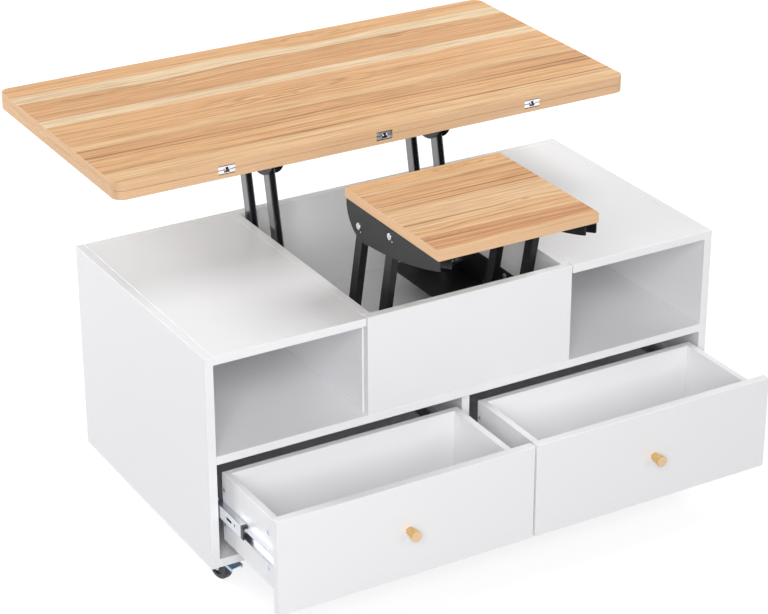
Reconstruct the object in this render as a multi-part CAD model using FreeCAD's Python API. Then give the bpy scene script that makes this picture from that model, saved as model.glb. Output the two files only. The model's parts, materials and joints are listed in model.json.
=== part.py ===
"""Convertible coffee dining table: a cabinet on casters, a folding lift top and a lift platform.

Millimetres, +X to the right, +Y to the back, +Z up, floor at zero. The stored pose has the top
and the platform raised, the flip leaf folded onto the lower board and both drawers pulled out.
"""
import FreeCAD, Part
import math
import os

# Boards of the cabinet and of the tops
board_t = 15.0
white_edge_r = 0.8
wood_edge_r = 1.0
overrun = 5.0
fit_gap = 0.05

# Cabinet
cabinet_w = 980.0
cabinet_d = 496.0
cabinet_h = 382.0
drawer_bay_h = 174.5
well_w = 370.0
well_front_reveal = 2.0
divider_setback = 0.5

# Drawers, each pulled out by its full travel
drawer_travel = 200.0
front_reveal = 2.0
front_side_reveal = 1.5
box_d = 195.0
box_side_t = 12.0
box_bottom_t = 5.0
box_bottom_lift = 6.0
box_low_lift = 29.0
box_high_drop = 20.5
cam_r = 6.0
cam_depth = 8.0
cam_from_front = 37.0
cam_pitch = 64.0
box_screw_r = 3.0
box_screw_depth = 6.0
recess_w = 1.6
recess_depth = 1.2
knob_base_r = 6.5
knob_tip_r = 9.5
knob_l = 24.0
knob_edge_r = 1.2

# Drawer slides, three nested channels
slide_space = 13.0
slide_h = 26.0
slide_l = 200.0
slide_web_t = 1.2
slide_lip_t = 1.2
slide_bead_t = 1.8
slide_gap = 0.3
slide_setback = 2.0
slide_centre_drop = 84.0
slide_mid_short = 10.0
slide_cap_l = 8.0
slide_hole_r = 2.5
slide_hole_from_front = 22.0
slide_slot_h = 5.0
slide_slot_l = 18.0
slide_slot_from_front = 32.0
slide_share = 0.5

# Folding top and its flush edge hinges
top_l = 1000.0
top_d = 500.0
top_corner_r = 20.0
seam_gap = 0.4
seat_gap = 0.5
hinge_pitch = 300.0
hinge_count_each_side = 1
cup_l = 31.0
cup_d = 11.0
cup_h = 7.5
cup_notch_l = 10.4
cup_notch_d = 4.6
knuckle_r = 2.2
knuckle_l = 4.4
lug_l = 2.2
lug_gap = 0.4
hinge_pin_r = 1.1

# Lift arms and brackets, the same for the top and, turned round, for the platform
arm_l = 252.0
arm_w = 20.0
arm_depth = 13.0
arm_wall = 2.0
arm_lean_deg = 12.0
arm_travel_deg = 82.0
arm_side_gap = 1.0
bracket_l = 295.0
bracket_h = 60.0
bracket_t = 2.0
bracket_w = 22.0
bracket_tip_r = 3.0
bracket_edge_gap = 7.5
low_pivot_from_end = 42.0
low_pivot_drop = 37.0
pivot_span = 100.0
pivot_rise = 20.0
bracket_end_share = 0.2
bracket_tip_share = 0.3
bracket_belly_share = 0.25
bracket_round_shares = (0.06, 0.77)
bracket_taper_shares = (0.60, 0.79)
bolt_r = 4.0
bolt_head_r = 6.0
bolt_head_t = 2.5
bolt_head_edge_r = 1.0
bolt_nut_r = 6.5
bolt_nut_t = 4.0
bolt_collar_r = 7.0
bolt_side_gap = 0.2
open_pivot_gap = 0.3
lifts_gap = 2.1

# Platform
platform_w = 300.0
platform_d = 296.0
platform_t = 18.0
platform_gap = 1.0
platform_bracket_lap = 0.4

# Fixed brackets in the well
base_plate_h = 58.0
base_plate_front_l = 207.0
base_plate_back_l = 24.0
base_back_gap = 12.6
base_flange_w = 105.0
base_flange_gap = 40.3
base_flange_back_gap = 55.4
base_clear = 2.5
base_screw_r = 5.0
base_screw_t = 1.8
base_screw_shares = (0.14, 0.50, 0.80)
base_screw_height_share = 0.82
stop_r = 4.0
stop_up = 22.0
stop_gap = 0.3
stop_reach = 8.0
foot_flange_w = 40.0
foot_plate_margin = 28.0
foot_front_gap = 26.3

# Casters
caster_h = 60.0
caster_inset_x = 41.0
caster_inset_y = 81.0
caster_trail = 20.0
front_caster_turn_deg = 11.0
rear_caster_turn_deg = 90.0
wheel_r = 25.0
wheel_w = 15.0
wheel_edge_r = 4.0
wheel_dish_r = 16.0
wheel_dish_depth = 2.5
wheel_hub_r = 7.0
axle_r = 3.0
axle_head_r = 4.5
axle_head_t = 1.2
caster_plate_w = 42.0
caster_plate_t = 2.0
caster_plate_corner_r = 4.0
caster_boss_r = 12.0
caster_boss_h = 3.0
kingpin_r = 4.0
swivel_gap = 0.3
fork_top_t = 2.2
fork_disc_r = 14.0
fork_cheek_t = 1.6
fork_cheek_gap = 0.6
fork_back_l = 11.0
fork_nose_r = 8.0
fork_shoulder_h = 6.0
pedal_pivot_l = 15.0
pedal_pivot_drop = 5.0
pedal_pivot_r = 2.0
pedal_t = 1.6
pedal_ear_h = 6.0
pedal_tread_from = 48.0
pedal_tread_l = 18.0
pedal_slope_deg = 12.0
pedal_gap = 0.3

# Directions
ORIGIN = FreeCAD.Vector(0, 0, 0)
X_AXIS = FreeCAD.Vector(1, 0, 0)
Z_AXIS = FreeCAD.Vector(0, 0, 1)

# Cabinet places
half_w = cabinet_w / 2
half_d = cabinet_d / 2
inside_x = half_w - board_t
front_y = -half_d
back_y = half_d - board_t
floor_z = caster_h
bay_z = floor_z + board_t
shelf_z = bay_z + drawer_bay_h
well_z = shelf_z + board_t
cabinet_top_z = floor_z + cabinet_h
well_x = well_w / 2
partition_x = well_x + board_t
well_front_y = front_y + board_t

# Lift places: lift_back and lift_rise are how far the raised top stands from the closed top
arm_lean = math.radians(arm_lean_deg)
arm_closed = math.radians(arm_travel_deg - arm_lean_deg)
lift_back = arm_l * (math.sin(arm_lean) + math.sin(arm_closed))
lift_rise = arm_l * (math.cos(arm_lean) - math.cos(arm_closed))
lean_y = arm_l * math.sin(arm_lean)
lean_z = arm_l * math.cos(arm_lean)
top_under_z = cabinet_top_z + seat_gap + lift_rise
top_front_y = lift_back - top_d / 2
top_back_y = lift_back + top_d / 2
hinge_y = top_front_y - seam_gap / 2
hinge_z = top_under_z + board_t + seam_gap / 2
platform_top_z = top_under_z - platform_gap
platform_under_z = platform_top_z - platform_t

# Along the well, the top's base angle stands near its back and the platform's foot bracket near its front
base_back_y = back_y - base_back_gap
foot_front_y = well_front_y + foot_front_gap
top_bracket_y = base_back_y - base_plate_back_l - pivot_span + lean_y - low_pivot_from_end
platform_bracket_y = foot_front_y + foot_plate_margin + pivot_span - lean_y + low_pivot_from_end

# Drawer places in the pulled out pose
drawer_front_y = front_y - drawer_travel
drawer_inner_y = drawer_front_y + board_t
front_gap_x = front_reveal
front_outer_x = inside_x - front_side_reveal
front_low_z = bay_z + front_reveal
front_high_z = shelf_z - front_reveal
box_low_z = bay_z + box_low_lift
box_high_z = shelf_z - box_high_drop
box_outer_x = inside_x - slide_space
box_inner_x = board_t / 2 + slide_space
slide_z = shelf_z - slide_centre_drop

# The frame's origin lies on the floor, under the middle of the stored pose's box
front_reach_y = drawer_front_y - knob_l
origin_y = (front_reach_y + top_back_y) / 2


def block(x0, x1, y0, y1, z0, z1):
    """Box between two corners."""
    return Part.makeBox(x1 - x0, y1 - y0, z1 - z0, FreeCAD.Vector(x0, y0, z0))


def panel(x0, x1, y0, y1, z0, z1, edge_r=white_edge_r):
    """Board with all its edges eased."""
    board = block(x0, x1, y0, y1, z0, z1)
    return board.makeFillet(edge_r, board.Edges)


def rod_x(radius, x0, x1, y, z):
    """Round bar along X."""
    return Part.makeCylinder(radius, x1 - x0, FreeCAD.Vector(x0, y, z), X_AXIS)


def rod_z(radius, z0, z1, x, y):
    """Round bar along Z."""
    return Part.makeCylinder(radius, z1 - z0, FreeCAD.Vector(x, y, z0), Z_AXIS)


def mirrored(shape):
    """The same piece on the other side of the middle plane."""
    return shape.mirror(ORIGIN, X_AXIS)


def as_drawn(shape):
    """The piece itself, on the right."""
    return shape


SIDES = (("right", as_drawn), ("left", mirrored))


def both_sides(*shapes):
    """Right hand pieces and their left hand twins."""
    return [turn(shape) for shape in shapes for side, turn in SIDES]


def fused(*solids):
    """One solid out of several that meet."""
    whole = solids[0].fuse(list(solids[1:]))
    return whole.removeSplitter()


def without(shape, *cutters):
    """A piece with the cutters taken away."""
    return shape.cut(list(cutters))


def plate_yz(edges, x0, x1):
    """Flat plate between two X planes from edges drawn in the YZ plane at X = 0."""
    face = Part.Face(Part.Wire(edges))
    plate = face.extrude(FreeCAD.Vector(x1 - x0, 0, 0))
    plate.translate(FreeCAD.Vector(x0, 0, 0))
    return plate


def line(start, end):
    """Straight edge between two (y, z) points."""
    return Part.LineSegment(FreeCAD.Vector(0, *start), FreeCAD.Vector(0, *end)).toShape()


def arc(start, middle, end):
    """Round edge through three (y, z) points."""
    points = [FreeCAD.Vector(0, *place) for place in (start, middle, end)]
    return Part.Arc(*points).toShape()


def save(name, *solids):
    """Write one node, moved so that the frame's origin is at the middle of the floor print."""
    shape = solids[0] if len(solids) == 1 else Part.makeCompound(list(solids))
    node = shape.copy()
    node.translate(FreeCAD.Vector(0, -origin_y, 0))
    node.exportStep("parts/%s.step" % name)


# Cabinet boards

def make_cabinet():
    """The eleven boards that stay still."""
    side = panel(inside_x, half_w, front_y, half_d, floor_z, cabinet_top_z)
    save("side_panel_right", side)
    save("side_panel_left", mirrored(side))
    save("bottom_panel", panel(-inside_x, inside_x, front_y, back_y, floor_z, bay_z))
    save("shelf_panel", panel(-inside_x, inside_x, front_y, back_y, shelf_z, well_z))
    save("back_panel", panel(-inside_x, inside_x, back_y, half_d, floor_z, cabinet_top_z))
    partition = panel(well_x, partition_x, well_front_y, back_y, well_z, cabinet_top_z)
    save("partition_right", partition)
    save("partition_left", mirrored(partition))
    cubby_top = panel(partition_x, inside_x, front_y, back_y, cabinet_top_z - board_t, cabinet_top_z)
    save("fixed_top_right", cubby_top)
    save("fixed_top_left", mirrored(cubby_top))
    cover_x = partition_x - well_front_reveal
    save("well_front_panel", panel(-cover_x, cover_x, front_y, well_front_y, well_z, cabinet_top_z))
    divider_y = well_front_y + divider_setback
    save("drawer_divider", panel(-board_t / 2, board_t / 2, divider_y, back_y, bay_z, shelf_z))


# Drawer slides, drawn for the right hand drawer

def channel(wall_x, lip_x, web_t, half_h, lip_t, y0, y1):
    """Folded channel along Y: its web lies on wall_x and its lips reach to lip_x."""
    inward = math.copysign(1, lip_x - wall_x)
    inner_x = wall_x + inward * web_t
    open_x = lip_x + inward * overrun
    inner_h = half_h - lip_t
    body = block(min(wall_x, lip_x), max(wall_x, lip_x), y0, y1, slide_z - half_h, slide_z + half_h)
    room = block(min(inner_x, open_x), max(inner_x, open_x), y0 - overrun, y1 + overrun,
                 slide_z - inner_h, slide_z + inner_h)
    return body.cut(room)


def web_cutters(x0, x1, y):
    """Round hole and long slot through a rail's web, measured back from y."""
    slot_r = slide_slot_h / 2
    slot_y0 = y + slide_slot_from_front + slot_r
    slot_y1 = y + slide_slot_from_front + slide_slot_l - slot_r
    slot = block(x0, x1, slot_y0, slot_y1, slide_z - slot_r, slide_z + slot_r)
    slot_ends = [rod_x(slot_r, x0, x1, end_y, slide_z) for end_y in (slot_y0, slot_y1)]
    return [rod_x(slide_hole_r, x0, x1, y + slide_hole_from_front, slide_z), slot] + slot_ends


def slide_set(wall_x, inward):
    """Fixed, middle and drawer channel, and the cap on the middle one, of one slide."""
    outer_h = slide_h / 2
    mid_h = outer_h - slide_lip_t - slide_gap
    inner_h = mid_h - slide_bead_t - slide_gap
    box_x = wall_x + inward * slide_space
    mid_wall_x = wall_x + inward * (slide_web_t + slide_gap)
    mid_lip_x = box_x - inward * (slide_web_t + slide_gap)
    inner_lip_x = mid_wall_x + inward * (slide_web_t + slide_gap)
    rail_y = well_front_y + slide_setback
    mid_y = rail_y + slide_cap_l - slide_share * drawer_travel
    mid_end_y = mid_y + slide_l - slide_cap_l - slide_mid_short
    outer = channel(wall_x, mid_lip_x, slide_web_t, outer_h, slide_lip_t, rail_y, rail_y + slide_l)
    middle = channel(mid_wall_x, mid_lip_x, slide_web_t, mid_h, slide_bead_t, mid_y, mid_end_y)
    middle = without(middle, *web_cutters(mid_wall_x - overrun, mid_wall_x + overrun, mid_y))
    cap = channel(mid_wall_x, mid_lip_x, slide_web_t, mid_h, slide_bead_t, mid_y - slide_cap_l, mid_y)
    inner_y = drawer_inner_y + slide_setback
    inner_end_y = drawer_inner_y + box_d - slide_setback
    inner = channel(box_x, inner_lip_x, slide_web_t, inner_h, slide_lip_t, inner_y, inner_end_y)
    return outer, middle, cap, inner


def make_slides():
    """Two slides for each drawer: one on the side panel, one on the divider."""
    pair = zip(slide_set(inside_x, -1), slide_set(board_t / 2, 1))
    outer, middle, cap, inner = [list(rails) for rails in pair]
    save("slide_cabinet_rails", *outer, *[mirrored(rail) for rail in outer])
    for side, turn in SIDES:
        save("%s_slide_middle_rails" % side, *[turn(rail) for rail in middle + cap])
        save("%s_drawer_rails" % side, *[turn(rail) for rail in inner])


# Drawers, drawn for the right hand side

def slotted_disc(radius, depth, face_x, inward, y, z):
    """Disc let into a board's face at face_x, with a crossed driver recess."""
    inner_x = face_x + inward * depth
    disc = rod_x(radius, min(face_x, inner_x), max(face_x, inner_x), y, z)
    recess_x = face_x + inward * recess_depth
    x0 = min(face_x, recess_x)
    x1 = max(face_x, recess_x)
    arm = radius - recess_w
    upright = block(x0, x1, y - recess_w / 2, y + recess_w / 2, z - arm, z + arm)
    level = block(x0, x1, y - arm, y + arm, z - recess_w / 2, z + recess_w / 2)
    return without(disc, upright, level)


def box_side_with_fittings(x0, x1, face_x, inward):
    """One drawer side with the pockets for its cams and screws, and those fittings."""
    side = panel(x0, x1, drawer_inner_y, drawer_inner_y + box_d, box_low_z, box_high_z)
    cam_y = drawer_inner_y + cam_from_front
    screw_y = drawer_inner_y + box_d - box_side_t / 2
    middle_z = (box_low_z + box_high_z) / 2
    fittings = []
    for step in (-1, 1):
        z = middle_z + step * cam_pitch / 2
        fittings.append(slotted_disc(cam_r, cam_depth, face_x, inward, cam_y, z))
        fittings.append(slotted_disc(box_screw_r, box_screw_depth, face_x, inward, screw_y, z))
        for radius, depth, y in ((cam_r, cam_depth, cam_y), (box_screw_r, box_screw_depth, screw_y)):
            end_x = face_x + inward * depth
            side = side.cut(rod_x(radius, min(face_x, end_x), max(face_x, end_x), y, z))
    return side, fittings


def make_knob():
    """Turned knob that widens away from the drawer front."""
    middle_x = (front_gap_x + front_outer_x) / 2
    middle_z = (front_low_z + front_high_z) / 2
    base = FreeCAD.Vector(middle_x, drawer_front_y, middle_z)
    knob = Part.makeCone(knob_base_r, knob_tip_r, knob_l, base, FreeCAD.Vector(0, -1, 0))
    tip_edges = [edge for edge in knob.Edges if abs(edge.BoundBox.YMax - front_reach_y) < fit_gap]
    return knob.makeFillet(knob_edge_r, tip_edges)


def make_drawers():
    """Front, box and knob of each drawer."""
    front = panel(front_gap_x, front_outer_x, drawer_front_y, drawer_inner_y, front_low_z, front_high_z)
    side_x = box_outer_x - box_side_t
    divider_side_x = box_inner_x + box_side_t
    outer_side, outer_fittings = box_side_with_fittings(side_x, box_outer_x, box_outer_x, -1)
    inner_side, inner_fittings = box_side_with_fittings(box_inner_x, divider_side_x, box_inner_x, 1)
    box_back_y = drawer_inner_y + box_d
    back_inner_y = box_back_y - box_side_t
    back = panel(divider_side_x, side_x, back_inner_y, box_back_y, box_low_z, box_high_z)
    bottom_z = box_low_z + box_bottom_lift
    bottom = block(divider_side_x, side_x, drawer_inner_y, back_inner_y, bottom_z, bottom_z + box_bottom_t)
    knob = make_knob()
    for side, turn in SIDES:
        save("%s_drawer_front" % side, turn(front))
        save("%s_drawer_outer_side" % side, turn(outer_side))
        save("%s_drawer_inner_side" % side, turn(inner_side))
        save("%s_drawer_back" % side, turn(back))
        save("%s_drawer_bottom" % side, turn(bottom))
        save("%s_drawer_knob" % side, turn(knob))
        save("%s_drawer_fittings" % side, *[turn(piece) for piece in outer_fittings + inner_fittings])


# Folding top

def top_board(z0):
    """Board with rounded corners and eased edges."""
    board = block(-top_l / 2, top_l / 2, top_front_y, top_back_y, z0, z0 + board_t)
    corners = [edge for edge in board.Edges if edge.BoundBox.ZLength > board_t / 2]
    board = board.makeFillet(top_corner_r, corners)
    flat_edges = [edge for edge in board.Edges if edge.BoundBox.ZLength < board_t / 2]
    return board.makeFillet(wood_edge_r, flat_edges)


def hinge_places():
    """X of each hinge along the front edge."""
    return [step * hinge_pitch for step in range(-hinge_count_each_side, hinge_count_each_side + 1)]


def cup(x, z0, z1):
    """Space that one hinge cup takes in a board's front edge."""
    return block(x - cup_l / 2, x + cup_l / 2, top_front_y, top_front_y + cup_d, z0, z1)


def notch(x, length, z0, z1):
    """Space in front of the notch's back wall, as wide as length."""
    return block(x - length / 2, x + length / 2, hinge_y, top_front_y + cup_notch_d, z0, z1)


def make_hinges():
    """Cups let into both boards, with lugs on the upper cups and a pinned knuckle between them."""
    low_z = hinge_z - seam_gap / 2
    high_z = hinge_z + seam_gap / 2
    low_floor_z = hinge_z - cup_notch_d
    high_roof_z = hinge_z + cup_notch_d
    lower_cups = []
    upper_cups = []
    knuckles = []
    for x in hinge_places():
        lower = cup(x, low_z - cup_h, low_z)
        lower_cups.append(lower.cut(notch(x, cup_notch_l, low_floor_z, low_z)))
        web = notch(x, knuckle_l, low_floor_z, low_z)
        barrel = rod_x(knuckle_r, x - knuckle_l / 2, x + knuckle_l / 2, hinge_y, hinge_z)
        pin_half = knuckle_l / 2 + lug_gap + lug_l
        pin = rod_x(hinge_pin_r, x - pin_half, x + pin_half, hinge_y, hinge_z)
        knuckles.append(fused(web, barrel, pin))
        upper = cup(x, high_z, high_z + cup_h).cut(notch(x, cup_notch_l, high_z, high_roof_z))
        for way in (-1, 1):
            near_x = x + way * (knuckle_l / 2 + lug_gap)
            far_x = near_x + way * lug_l
            x0 = min(near_x, far_x)
            lug_web = notch(x0 + lug_l / 2, lug_l, high_z, high_roof_z)
            lug = fused(lug_web, rod_x(knuckle_r, x0, x0 + lug_l, hinge_y, hinge_z))
            hole = rod_x(hinge_pin_r + fit_gap, x0 - overrun, x0 + lug_l + overrun, hinge_y, hinge_z)
            upper = fused(upper, lug.cut(hole))
        upper_cups.append(upper)
    save("hinge_lower_cups", *lower_cups)
    save("hinge_upper_cups", *upper_cups)
    save("hinge_knuckles", *knuckles)


def make_top():
    """Lower board, carried by the lift, and the flip leaf that folds onto it."""
    low_z = hinge_z - seam_gap / 2
    high_z = hinge_z + seam_gap / 2
    lower_pockets = [cup(x, low_z - cup_h, low_z) for x in hinge_places()]
    upper_pockets = [cup(x, high_z, high_z + cup_h) for x in hinge_places()]
    save("top_lower_board", without(top_board(top_under_z), *lower_pockets))
    save("top_flip_leaf", without(top_board(high_z), *upper_pockets))


# Lift arms and brackets, drawn for the right hand side

def stadium(radius, length, x0, x1):
    """Plate with two round ends, standing on the origin of the YZ plane."""
    right_low = (radius, 0)
    right_high = (radius, length)
    left_high = (-radius, length)
    left_low = (-radius, 0)
    edges = [arc(left_low, (0, -radius), right_low), line(right_low, right_high),
             arc(right_high, (0, length + radius), left_high), line(left_high, left_low)]
    return plate_yz(edges, x0, x1)


def lift_arm(outer_x, foot_y, foot_z, way, head_gap):
    """Folded channel arm: two round ended cheeks joined by a web that faces the same way as the lift."""
    half = arm_w / 2
    inner_x = outer_x - arm_depth
    outer_cheek = stadium(half, arm_l, outer_x - arm_wall, outer_x)
    inner_cheek = stadium(half, arm_l, inner_x, inner_x + arm_wall)
    web_ys = sorted((way * (half - arm_wall), way * half))
    web = block(inner_x, outer_x, *web_ys, 0, arm_l)
    foot_hole = rod_x(bolt_r + fit_gap, inner_x - overrun, outer_x + overrun, 0, 0)
    head_hole = rod_x(bolt_r + head_gap, inner_x - overrun, outer_x + overrun, 0, arm_l)
    arm = without(fused(outer_cheek, inner_cheek, web), foot_hole, head_hole)
    arm.rotate(ORIGIN, X_AXIS, -way * arm_lean_deg)
    arm.translate(FreeCAD.Vector(0, foot_y, foot_z))
    return arm


def pivot_bolt(lift, plate_x, y, z):
    """Shank through an arm, collar between it and the plate, and a head outside where the lift has them."""
    shank = rod_x(bolt_r, lift.arm_end_x, plate_x, y, z)
    collar = rod_x(bolt_collar_r, lift.arm_x + bolt_side_gap, plate_x - bracket_t, y, z)
    if lift.head_t == 0:
        return fused(shank, collar)
    head = rod_x(bolt_head_r, plate_x, plate_x + lift.head_t, y, z)
    rim = [edge for edge in head.Edges if edge.BoundBox.XMin > plate_x + lift.head_t / 2]
    return fused(shank, collar, head.makeFillet(bolt_head_edge_r, rim))


def foot_bolt(lift, plate_x, y, z):
    """Pivot bolt with its nut on the arm's inner side."""
    nut = rod_x(bolt_nut_r, lift.arm_end_x - bolt_nut_t, lift.arm_end_x, y, z)
    return fused(pivot_bolt(lift, plate_x, y, z), nut)


def bracket_bolt(lift, y, z):
    """Pivot bolt that goes on through a spacer and the bracket's inner cheek to its nut."""
    shank = rod_x(bolt_r, lift.inner_x, lift.arm_end_x, y, z)
    spacer = rod_x(bolt_collar_r, lift.inner_x + bracket_t, lift.arm_end_x, y, z)
    nut = rod_x(bolt_nut_r, lift.inner_x - bolt_nut_t, lift.inner_x, y, z)
    return fused(pivot_bolt(lift, lift.plate_x, y, z), shank, spacer, nut)


def bolt_hole(x0, x1, y, z):
    """Hole for a bolt's shank through plates between x0 and x1."""
    return rod_x(bolt_r + fit_gap, x0 - overrun, x1 + overrun, y, z)


class Lift:
    """Where one lift stands: way is 1 where its brackets point to the back and -1 to the front."""

    def __init__(self, name, plate_x, end_y, way, under_z, head_t, arm_names):
        self.name = name
        self.plate_x = plate_x
        self.inner_x = plate_x - bracket_w
        self.arm_x = plate_x - bracket_t - arm_side_gap
        self.arm_end_x = self.arm_x - arm_depth - bolt_side_gap
        self.end_y = end_y
        self.way = way
        self.under_z = under_z
        self.head_t = head_t
        self.arm_names = arm_names
        low_head = (end_y + way * low_pivot_from_end, under_z - low_pivot_drop)
        high_head = (low_head[0] + way * pivot_span, low_head[1] + pivot_rise)
        self.heads = (low_head, high_head)
        self.feet = [(y - way * lean_y, z - lean_z) for y, z in self.heads]


top_lift = Lift("top", well_x - bracket_edge_gap, top_bracket_y, 1, top_under_z, 0, ("front", "rear"))
platform_plate_x = top_lift.inner_x - bolt_nut_t - lifts_gap - bolt_head_t
platform_lift = Lift("platform", platform_plate_x, platform_bracket_y, -1, platform_under_z, bolt_head_t,
                     ("rear", "front"))


def lift_bracket(lift):
    """Folded channel under a board: two deep cheeks that taper to a rounded tip, joined by a web."""
    def place(along_share, depth_share):
        return (lift.end_y + lift.way * along_share * bracket_l, lift.under_z - depth_share * bracket_h)

    blunt = place(0, bracket_end_share)
    belly = place(bracket_belly_share, 1)
    tip = place(1, bracket_tip_share)
    outline = [line(place(0, 0), blunt), arc(blunt, place(*bracket_round_shares), belly),
               arc(belly, place(*bracket_taper_shares), tip), line(tip, place(1, 0)),
               line(place(1, 0), place(0, 0))]
    cheek = plate_yz(outline, lift.plate_x - bracket_t, lift.plate_x)
    tip_y, tip_z = tip
    tip_middle = FreeCAD.Vector(lift.plate_x - bracket_t / 2, tip_y, tip_z)
    tip_edges = [edge for edge in cheek.Edges if edge.CenterOfMass.distanceToPoint(tip_middle) < fit_gap]
    cheek = cheek.makeFillet(bracket_tip_r, tip_edges)
    inner_cheek = cheek.translated(FreeCAD.Vector(bracket_t - bracket_w, 0, 0))
    web_ys = sorted((lift.end_y, tip_y))
    web = block(lift.inner_x, lift.plate_x, *web_ys, lift.under_z - bracket_t, lift.under_z)
    bracket = fused(cheek, inner_cheek, web)
    return without(bracket, *[bolt_hole(lift.inner_x, lift.plate_x, y, z) for y, z in lift.heads])


def make_lift(lift):
    """Brackets, two pairs of arms and the bracket bolts of one lift."""
    save("%s_brackets" % lift.name, *both_sides(lift_bracket(lift)))
    for arm_name, foot, head_gap in zip(lift.arm_names, lift.feet, (fit_gap, open_pivot_gap)):
        arm = lift_arm(lift.arm_x, foot[0], foot[1], lift.way, head_gap)
        save("%s_%s_arms" % (lift.name, arm_name), *both_sides(arm))
    bolts = [bracket_bolt(lift, y, z) for y, z in lift.heads]
    save("%s_bracket_bolts" % lift.name, *both_sides(*bolts))


def make_platform():
    """Board of the small lift platform."""
    rear_y = platform_lift.end_y - platform_bracket_lap
    save("platform_board", panel(-platform_w / 2, platform_w / 2, rear_y - platform_d, rear_y,
                                 platform_under_z, platform_top_z, wood_edge_r))


# Fixed brackets in the well, drawn for the right hand side

def stop_stud(lift, plate_inner_x):
    """Stud that a raised high arm leans on."""
    foot_y, foot_z = lift.feet[1]
    offset = arm_w / 2 + stop_r + stop_gap
    y = foot_y + lift.way * (stop_up * math.sin(arm_lean) + offset * math.cos(arm_lean))
    z = foot_z + stop_up * math.cos(arm_lean) - offset * math.sin(arm_lean)
    return rod_x(stop_r, lift.arm_x - stop_reach, plate_inner_x, y, z)


def base_screw(inner_x, y, z):
    """Low domed screw head with a stem through the angle's plate."""
    head = rod_x(base_screw_r, inner_x - base_screw_t, inner_x, y, z)
    rim = [edge for edge in head.Edges if edge.BoundBox.XMax < inner_x - base_screw_t / 2]
    return fused(head.makeFillet(base_screw_t / 2, rim), rod_x(base_screw_r / 2, inner_x, well_x, y, z))


def make_lift_base():
    """Angle on each partition that carries the top's arms, with its screws."""
    inner_x = well_x - bracket_t
    front_foot_y, front_foot_z = top_lift.feet[0]
    flange_z = front_foot_z - arm_w / 2 - base_clear
    low_z = flange_z - bracket_t
    plate_y0 = front_foot_y - base_plate_front_l
    plate = block(inner_x, well_x, plate_y0, base_back_y, low_z, low_z + base_plate_h)
    flange_y0 = platform_lift.feet[0][0] + foot_plate_margin + base_flange_gap
    flange_y1 = base_back_y - base_flange_back_gap
    flange = block(well_x - base_flange_w, well_x, flange_y0, flange_y1, low_z, flange_z)
    angle = fused(plate, flange, stop_stud(top_lift, inner_x))
    angle = without(angle, *[bolt_hole(inner_x, well_x, y, z) for y, z in top_lift.feet])
    screw_z = low_z + base_screw_height_share * base_plate_h
    screws = []
    for share in base_screw_shares:
        y = plate_y0 + share * (base_back_y - plate_y0)
        angle = angle.cut(rod_x(base_screw_r / 2, inner_x - overrun, well_x + overrun, y, screw_z))
        screws.append(base_screw(inner_x, y, screw_z))
    save("lift_base_angles", *both_sides(angle))
    save("lift_base_screws", *both_sides(*screws))


def make_platform_base():
    """Foot bracket on the well's floor that carries the platform's arms."""
    outer_x = platform_lift.plate_x
    inner_x = outer_x - bracket_t
    low_foot, high_foot = platform_lift.feet
    y1 = low_foot[0] + foot_plate_margin
    plate = block(inner_x, outer_x, foot_front_y, y1, well_z, high_foot[1] + foot_plate_margin)
    flange = block(outer_x - foot_flange_w, outer_x, foot_front_y, y1, well_z, well_z + bracket_t)
    foot = fused(plate, flange, stop_stud(platform_lift, inner_x))
    foot = without(foot, *[bolt_hole(inner_x, outer_x, y, z) for y, z in platform_lift.feet])
    save("platform_foot_brackets", *both_sides(foot))


def make_foot_bolts():
    """Foot bolts of both lifts."""
    bolts = [foot_bolt(top_lift, well_x, y, z) for y, z in top_lift.feet]
    bolts += [foot_bolt(platform_lift, platform_lift.plate_x, y, z) for y, z in platform_lift.feet]
    save("lift_foot_bolts", *both_sides(*bolts))


# Casters, drawn about the swivel axis with the wheel trailing to the front

axle_z = wheel_r
plate_low_z = caster_h - caster_plate_t
boss_low_z = plate_low_z - caster_boss_h
fork_high_z = boss_low_z - swivel_gap
fork_low_z = fork_high_z - fork_top_t
cheek_in_x = wheel_w / 2 + fork_cheek_gap
cheek_out_x = cheek_in_x + fork_cheek_t
pedal_pivot_y = -pedal_pivot_l
pedal_pivot_z = fork_low_z - pedal_pivot_drop


def caster_plate():
    """Top plate with a raised race and the hole for the kingpin."""
    half = caster_plate_w / 2
    plate = block(-half, half, -half, half, plate_low_z, caster_h)
    uprights = [edge for edge in plate.Edges if edge.BoundBox.ZLength > caster_plate_t / 2]
    plate = plate.makeFillet(caster_plate_corner_r, uprights)
    race = fused(plate, rod_z(caster_boss_r, boss_low_z, plate_low_z, 0, 0))
    return race.cut(rod_z(kingpin_r + fit_gap, boss_low_z - overrun, caster_h + overrun, 0, 0))


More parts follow.
